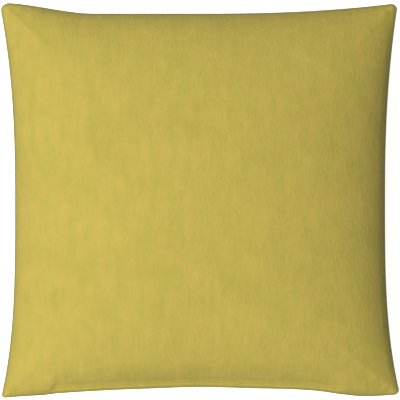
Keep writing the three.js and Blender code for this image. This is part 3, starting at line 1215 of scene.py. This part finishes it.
def slider_plate(name, near, far):
    low = (SLIDER_AT - SLIDER_HALF, near, -MOUTH)
    high = (SLIDER_AT + SLIDER_HALF, far, MOUTH)
    plate = bench_box(name, low, high)
    pick(plate, "EDGE", lambda a, b: max(a.x, b.x) < SLIDER_AT)
    bpy.ops.transform.resize(value=(1, 1, TAIL / MOUTH), center_override=(SLIDER_AT, near, 0))
    pick(plate, "EDGE", lambda a, b: abs(a.y - b.y) > 0.5 * MM)
    bpy.ops.mesh.bevel(offset=1.5 * MM, segments=5)
    close_edit()
    soften(plate, 0.22 * MM, segments=3)
    return plate


def slider_rail(name, side):
    low_level, high_level = levels(side, 3.1 * MM, TAIL)
    low = (SLIDER_AT - SLIDER_HALF + 1 * MM, 5.05 * MM, low_level)
    high = (SLIDER_AT + SLIDER_HALF - 2 * MM, 7.1 * MM, high_level)
    rail = bench_box(name, low, high)
    soften(rail, 0.1 * MM)
    return rail


def slider_neck():
    low = (SLIDER_AT + 1 * MM, 5 * MM, -0.24 * MM)
    neck = bench_box("neck", low, (SLIDER_AT + 4 * MM, 8.75 * MM, 0.24 * MM))
    soften(neck, 0.1 * MM)
    return neck


def slider_bail():
    """Half a ring that stands on the outer plate, in the plane of the zip's length."""
    deselect()
    bpy.ops.mesh.primitive_torus_add(
        major_radius=3 * MM, minor_radius=0.45 * MM, major_segments=40, minor_segments=12,
        location=(SLIDER_AT, 4.45 * MM, 0),
    )
    bail = bpy.context.object
    bail.scale = (1, 0.7, 1.5)
    apply_place()
    edit_all()
    bpy.ops.mesh.bisect(
        plane_co=(SLIDER_AT, 4.6 * MM, 0), plane_no=(0, 1, 0), use_fill=True, clear_outer=True
    )
    close_edit()
    return bail


def combine(piece, other, operation):
    """Joins another solid to a piece, or cuts it away, and removes the other."""
    tool = piece.modifiers.new(operation, "BOOLEAN")
    tool.operation = operation
    tool.solver = "EXACT"
    tool.object = other
    deselect()
    apply_all(piece)
    bpy.data.objects.remove(other)


slider = slider_plate("zip_slider_body", 4.2 * MM, 5.2 * MM)
parts = [slider_plate("inner_plate", 8.6 * MM, 9.5 * MM), slider_neck(), slider_bail()]
parts += [slider_rail("rail", side) for side in (1, -1)]
for part in parts:
    combine(slider, part, "UNION")
lay_on_arc(slider)
install(slider, "slider", "zip_slider", metal_finish)

# %% [markdown]
# ## Pull
# The pull hangs in the bail by a window at one end. Its other end is round, with an eye, and
# a shallow panel in each face gives the fingers a grip.

# %% Stamp the pull
PULL = {"long": 17.5 * MM, "half": 2.1 * MM, "thick": 1.1 * MM}
PULL_TIP = SLIDER_AT - PULL["long"] + PULL["half"]


def pull_box(name, start, end, half, thick=2 * MM, depth=PULL_DEPTH):
    low = (SLIDER_AT + start, depth - thick / 2, -half)
    return bench_box(name, low, (SLIDER_AT + end, depth + thick / 2, half))


def pull_blank():
    blank = pull_box("zip_pull", -PULL["long"], PULL["thick"] / 2, PULL["half"], PULL["thick"])
    pick(blank, "EDGE", lambda a, b: abs(a.y - b.y) > 0.5 * MM and a.x < PULL_TIP)
    bpy.ops.mesh.bevel(offset=0.98 * PULL["half"], segments=8)
    pick(blank, "EDGE", lambda a, b: abs(a.y - b.y) > 0.5 * MM and a.x > SLIDER_AT)
    bpy.ops.mesh.bevel(offset=0.5 * MM, segments=3)
    close_edit()
    return blank


def pull_eye():
    deselect()
    bpy.ops.mesh.primitive_cylinder_add(
        vertices=24, radius=1.05 * MM, depth=4 * MM, location=(PULL_TIP, PULL_DEPTH, 0),
        rotation=(math.pi / 2, 0, 0),
    )
    return bpy.context.object


pull = pull_blank()
grip_depths = [PULL_DEPTH + side * PULL["thick"] / 2 for side in (-1, 1)]
combine(pull, pull_box("window", -4.4 * MM, -0.55 * MM, 1.3 * MM), "DIFFERENCE")
combine(pull, pull_eye(), "DIFFERENCE")
for depth in grip_depths:
    grip = pull_box("grip", -13.6 * MM, -5.6 * MM, 1.25 * MM, 0.4 * MM, depth)
    combine(pull, grip, "DIFFERENCE")
soften(pull, 0.12 * MM, segments=2, angle=35)
lay_on_arc(pull)
install(pull, "pull", "zip_pull_tab", metal_finish)

# %% [markdown]
# ## Following a line
# Seams and stitches follow lines that aren't straight. A line is a list of points; a piece
# made along X is laid on it by distance, with Y pointing into the cushion and Z up.

# %% Lay a piece on a line
def lay_on_line(piece, line):
    """Bends a piece made along X on to a line of points, starting at its first one."""
    steps = np.linalg.norm(np.diff(line, axis=0), axis=1)
    travelled = np.concatenate([[0], np.cumsum(steps)])
    places = vertex_array(piece.data)

    def at(distance):
        parts = [np.interp(distance, travelled, line[:, axis]) for axis in range(3)]
        return np.stack(parts, axis=1)

    along = at(np.clip(places[:, 0], 0, travelled[-1]))
    ahead = at(np.clip(places[:, 0] + 2 * MM, 0, travelled[-1]))
    behind = at(np.clip(places[:, 0] - 2 * MM, 0, travelled[-1]))
    heading = (ahead - behind)[:, :2]
    heading /= np.linalg.norm(heading, axis=1)[:, None]
    inward = np.stack([-heading[:, 1], heading[:, 0]], axis=1)
    along[:, :2] += inward * places[:, 1:2]
    along[:, 2] += places[:, 2]
    set_vertices(piece.data, along)


def line_length(line):
    return float(np.linalg.norm(np.diff(line, axis=0), axis=1).sum())


HALF_WIDTH = 215 * MM  # of the stuffed cover along its zipped side


def rim_line(depth, extra, start_x=-HALF_WIDTH, end_x=-HALF_WIDTH):
    """Once round a seam, counterclockwise, from one X on the zipped side to another."""
    fine = np.linspace(-1, 1, 161)
    first, last = start_x / HALF_WIDTH, end_x / HALF_WIDTH
    ones = np.ones_like(fine)
    u = np.concatenate([np.linspace(first, 1, 81), ones, -fine, -ones, np.linspace(-1, last, 81)])
    v = np.concatenate([-np.ones(81), fine, ones, -fine, -np.ones(81)])
    x, y = blunt(*outline(u, v, depth), depth, extra)
    line = np.stack([x, y, np.full_like(x, SEAM)], axis=1)
    moved = np.linalg.norm(np.diff(line, axis=0, prepend=line[:1] - 1), axis=1) > 1e-6
    return line[moved]


print("once round the rim:", round(line_length(rim_line(0, 0)), 3), "m")

# %% [markdown]
# ## Overlocking
# An overlocker trims the two allowances and binds their edges with thread, so that velvet
# doesn't fray. The winding that made the coils makes this too: the same spiral, wider and
# slacker, laid round the seam. It stops where the zip begins.

# %% Bind both seams
def overlocking(name, line, pitch, half_depth, half_level, thread_radius):
    seam = winding(name, line_length(line), pitch, half_depth, half_level, thread_radius, 4, 7)
    lay_on_line(seam, line)
    return seam


cover_line = rim_line(10 * MM, 6 * MM, SLIT[1] + 3 * MM, SLIT[0] - 3 * MM)
cover_seam = overlocking("cover_overlocking", cover_line, 2.6 * MM, 2 * MM, 1.85 * MM, 0.2 * MM)
install(cover_seam, "cover", "overlock_thread", cover_thread_finish)
casing_line = rim_line(CASING_DEPTH + 6 * MM, 8 * MM)
casing_seam = overlocking(
    "casing_overlocking", casing_line, 2.8 * MM, 1.3 * MM, 1.15 * MM, 0.15 * MM
)
install(casing_seam, "cover", "insert_overlock_thread", white_thread_finish)

# %% [markdown]
# ## Stitches
# A single stitch is a short spindle of thread. An Array modifier repeats it along X, and the
# row is laid on its line: in the furrow of the lip, and on the tape, where the same thread
# comes out again. Slanting whip stitches close the gap in the casing.

# %% Rows of stitches
STITCH = {"pitch": 3.3 * MM, "long": 2.8 * MM, "radius": 0.22 * MM}


def repeat(piece, count, pitch):
    row = piece.modifiers.new("row", "ARRAY")
    row.count = count
    row.use_relative_offset = False
    row.use_constant_offset = True
    row.constant_offset_displace = (pitch, 0, 0)
    apply_all(piece)


def stitch_row(name, length, pitch, long, radius, slant=0.0):
    """Spindles in a row along X; the slant lifts one end of each of them."""
    deselect()
    bpy.ops.mesh.primitive_ico_sphere_add(
        subdivisions=2, radius=1, location=(pitch / 2, 0, 0), rotation=(0, slant, 0),
        scale=(long / 2, radius, radius),
    )
    row = bpy.context.object
    row.name = row.data.name = name
    apply_place()
    repeat(row, int(length / pitch), pitch)
    return row


def furrow_line(side):
    """Along the bottom of the furrow, half a thread off the cloth, between the slit's ends."""
    number = RIM_ROWS.index(round(LIP_CLOTH / MM, 1))
    row = cover_sheet[number]
    across = cover_sheet[number + 2] - cover_sheet[number - 2]
    normal = np.cross([1, 0, 0], across)
    normal /= np.linalg.norm(normal, axis=1)[:, None]
    inside = (row[:, 0] > SLIT[0] + 4 * MM) & (row[:, 0] < SLIT[1] - 4 * MM)
    line = (row + normal * STITCH["radius"] * 0.6)[inside]
    line[:, 2] = height(line[:, 2], side, 0)
    return line


def tape_line(side):
    x = np.linspace(ZIP_ENDS[0] + 2 * MM, ZIP_ENDS[1] - 2 * MM, 120)
    return np.stack([x, arc_y(x, 8.45 * MM), np.full_like(x, SEAM + side * 6.2 * MM)], axis=1)


def zip_stitches(name, side):
    rows = []
    for line in (furrow_line(side), tape_line(side)):
        row = stitch_row(name, line_length(line), **STITCH)
        lay_on_line(row, line)
        rows.append(row)
    return join_pieces(rows)


for word, side in (("front", 1), ("back", -1)):
    stitches = zip_stitches(f"{word}_zip_stitches", side)
    install(stitches, "cover", f"zip_stitch_{word}", cover_thread_finish)

u = np.linspace(-60, 60, 60) * MM / HALF_WIDTH
x, y = outline(u, -1.0, CASING_DEPTH - 0.2 * MM)
closing_line = np.stack([x, y, np.full_like(x, SEAM)], axis=1)
WHIP = {"pitch": 4 * MM, "long": 3.6 * MM, "radius": 0.25 * MM, "slant": 0.7}
closing = stitch_row("casing_closing_stitches", line_length(closing_line), **WHIP)
lay_on_line(closing, closing_line)
install(closing, "cover", "insert_closing_stitch", white_thread_finish)

# %% [markdown]
# ## Bar tacks
# At each end of the slit a machine sews a few dense stitches across the seam, so that the
# opening can't tear further. Each stitch is a thread that goes round both allowances, so
# one flattened ring is repeated side by side.

# %% Bar tacks at the ends of the slit
def bar_tack(name, node):
    low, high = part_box(node)
    deselect()
    bpy.ops.mesh.primitive_torus_add(
        major_radius=1, minor_radius=0.13, major_segments=16, minor_segments=5,
        rotation=(0, math.pi / 2, 0),
    )
    tack = bpy.context.object
    tack.name = tack.data.name = name
    tack.scale = (2.1 * MM, 1.4 * MM, 1.4 * MM)
    apply_place()
    repeat(tack, 6, (high.x - low.x) / 6)
    middle_u = (low.x + high.x) / 2 / HALF_WIDTH
    shift(tack, (low.x, -float(ZIPPED(middle_u)) + 1.6 * MM, SEAM))
    return tack


for side in ("left", "right"):
    tack = bar_tack(f"slit_end_{side}", f"bar_tack_{side}")
    install(tack, "cover", f"bar_tack_{side}", cover_thread_finish)

# %% [markdown]
# ## Labels
# Each label is a strip of satin ribbon folded in two, its ends caught in a seam. It is
# cloth, so its flat size is stated: 30 mm wide and twice its folded length.

# %% Fold the labels
LABEL = {"wide": 30 * MM, "fold": 0.17 * MM, "thick": 0.14 * MM, "lift": 1.2 * MM}
HALF_LENGTH = 210 * MM  # of the stuffed cover along its left and right sides


def folded_label(name, side, middle_y, near, far, level):
    """A ribbon that runs in from the rim, turns over a small fold and runs back."""
    flat_run = far - near - LABEL["fold"]
    turn = math.pi * LABEL["fold"]
    out, bend = np.linspace(0, flat_run, 12), np.linspace(0, 1, 9)[1:] * turn
    travel = np.concatenate([out, flat_run + bend, flat_run + turn + out[1:]])
    label, column, row = add_grid(travel, np.linspace(-1, 1, 13))
    label.name = label.data.name = name
    run = travel[column]
    angle = np.clip((run - flat_run) / LABEL["fold"], 0, math.pi)
    depth = near + np.minimum(run, flat_run) - np.clip(run - flat_run - turn, 0, None)
    depth += LABEL["fold"] * np.sin(angle)
    up = level + LABEL["thick"] / 2 + LABEL["fold"] * (1 + np.cos(angle))
    up += LABEL["lift"] * ((depth - near) / (far - near)) ** 2
    y = middle_y + (row / 12 - 0.5) * LABEL["wide"]
    rim_x, _ = outline(np.float64(side), y / HALF_LENGTH)
    set_vertices(label.data, np.stack([rim_x - side * depth, y, SEAM + up], axis=1))
    wall = label.modifiers.new("wall", "SOLIDIFY")
    wall.thickness = LABEL["thick"]
    wall.offset = 0
    apply_all(label)
    face_outwards(label)
    return label, 2 * flat_run + turn


LABELS = (
    ("care_ribbon", "care_label", -1, -100 * MM, 4.5 * MM, 11.5 * MM),
    ("casing_ribbon", "insert_label", 1, 90 * MM, 7 * MM, 13.5 * MM),
)
for name, node, side, middle_y, near, far in LABELS:
    ribbon, flat_length = folded_label(name, side, middle_y, near, far, 1.9 * MM)
    install(ribbon, "cover", node, label_finish)
    print(name, "was cut", round(flat_length / MM, 1), "mm long")
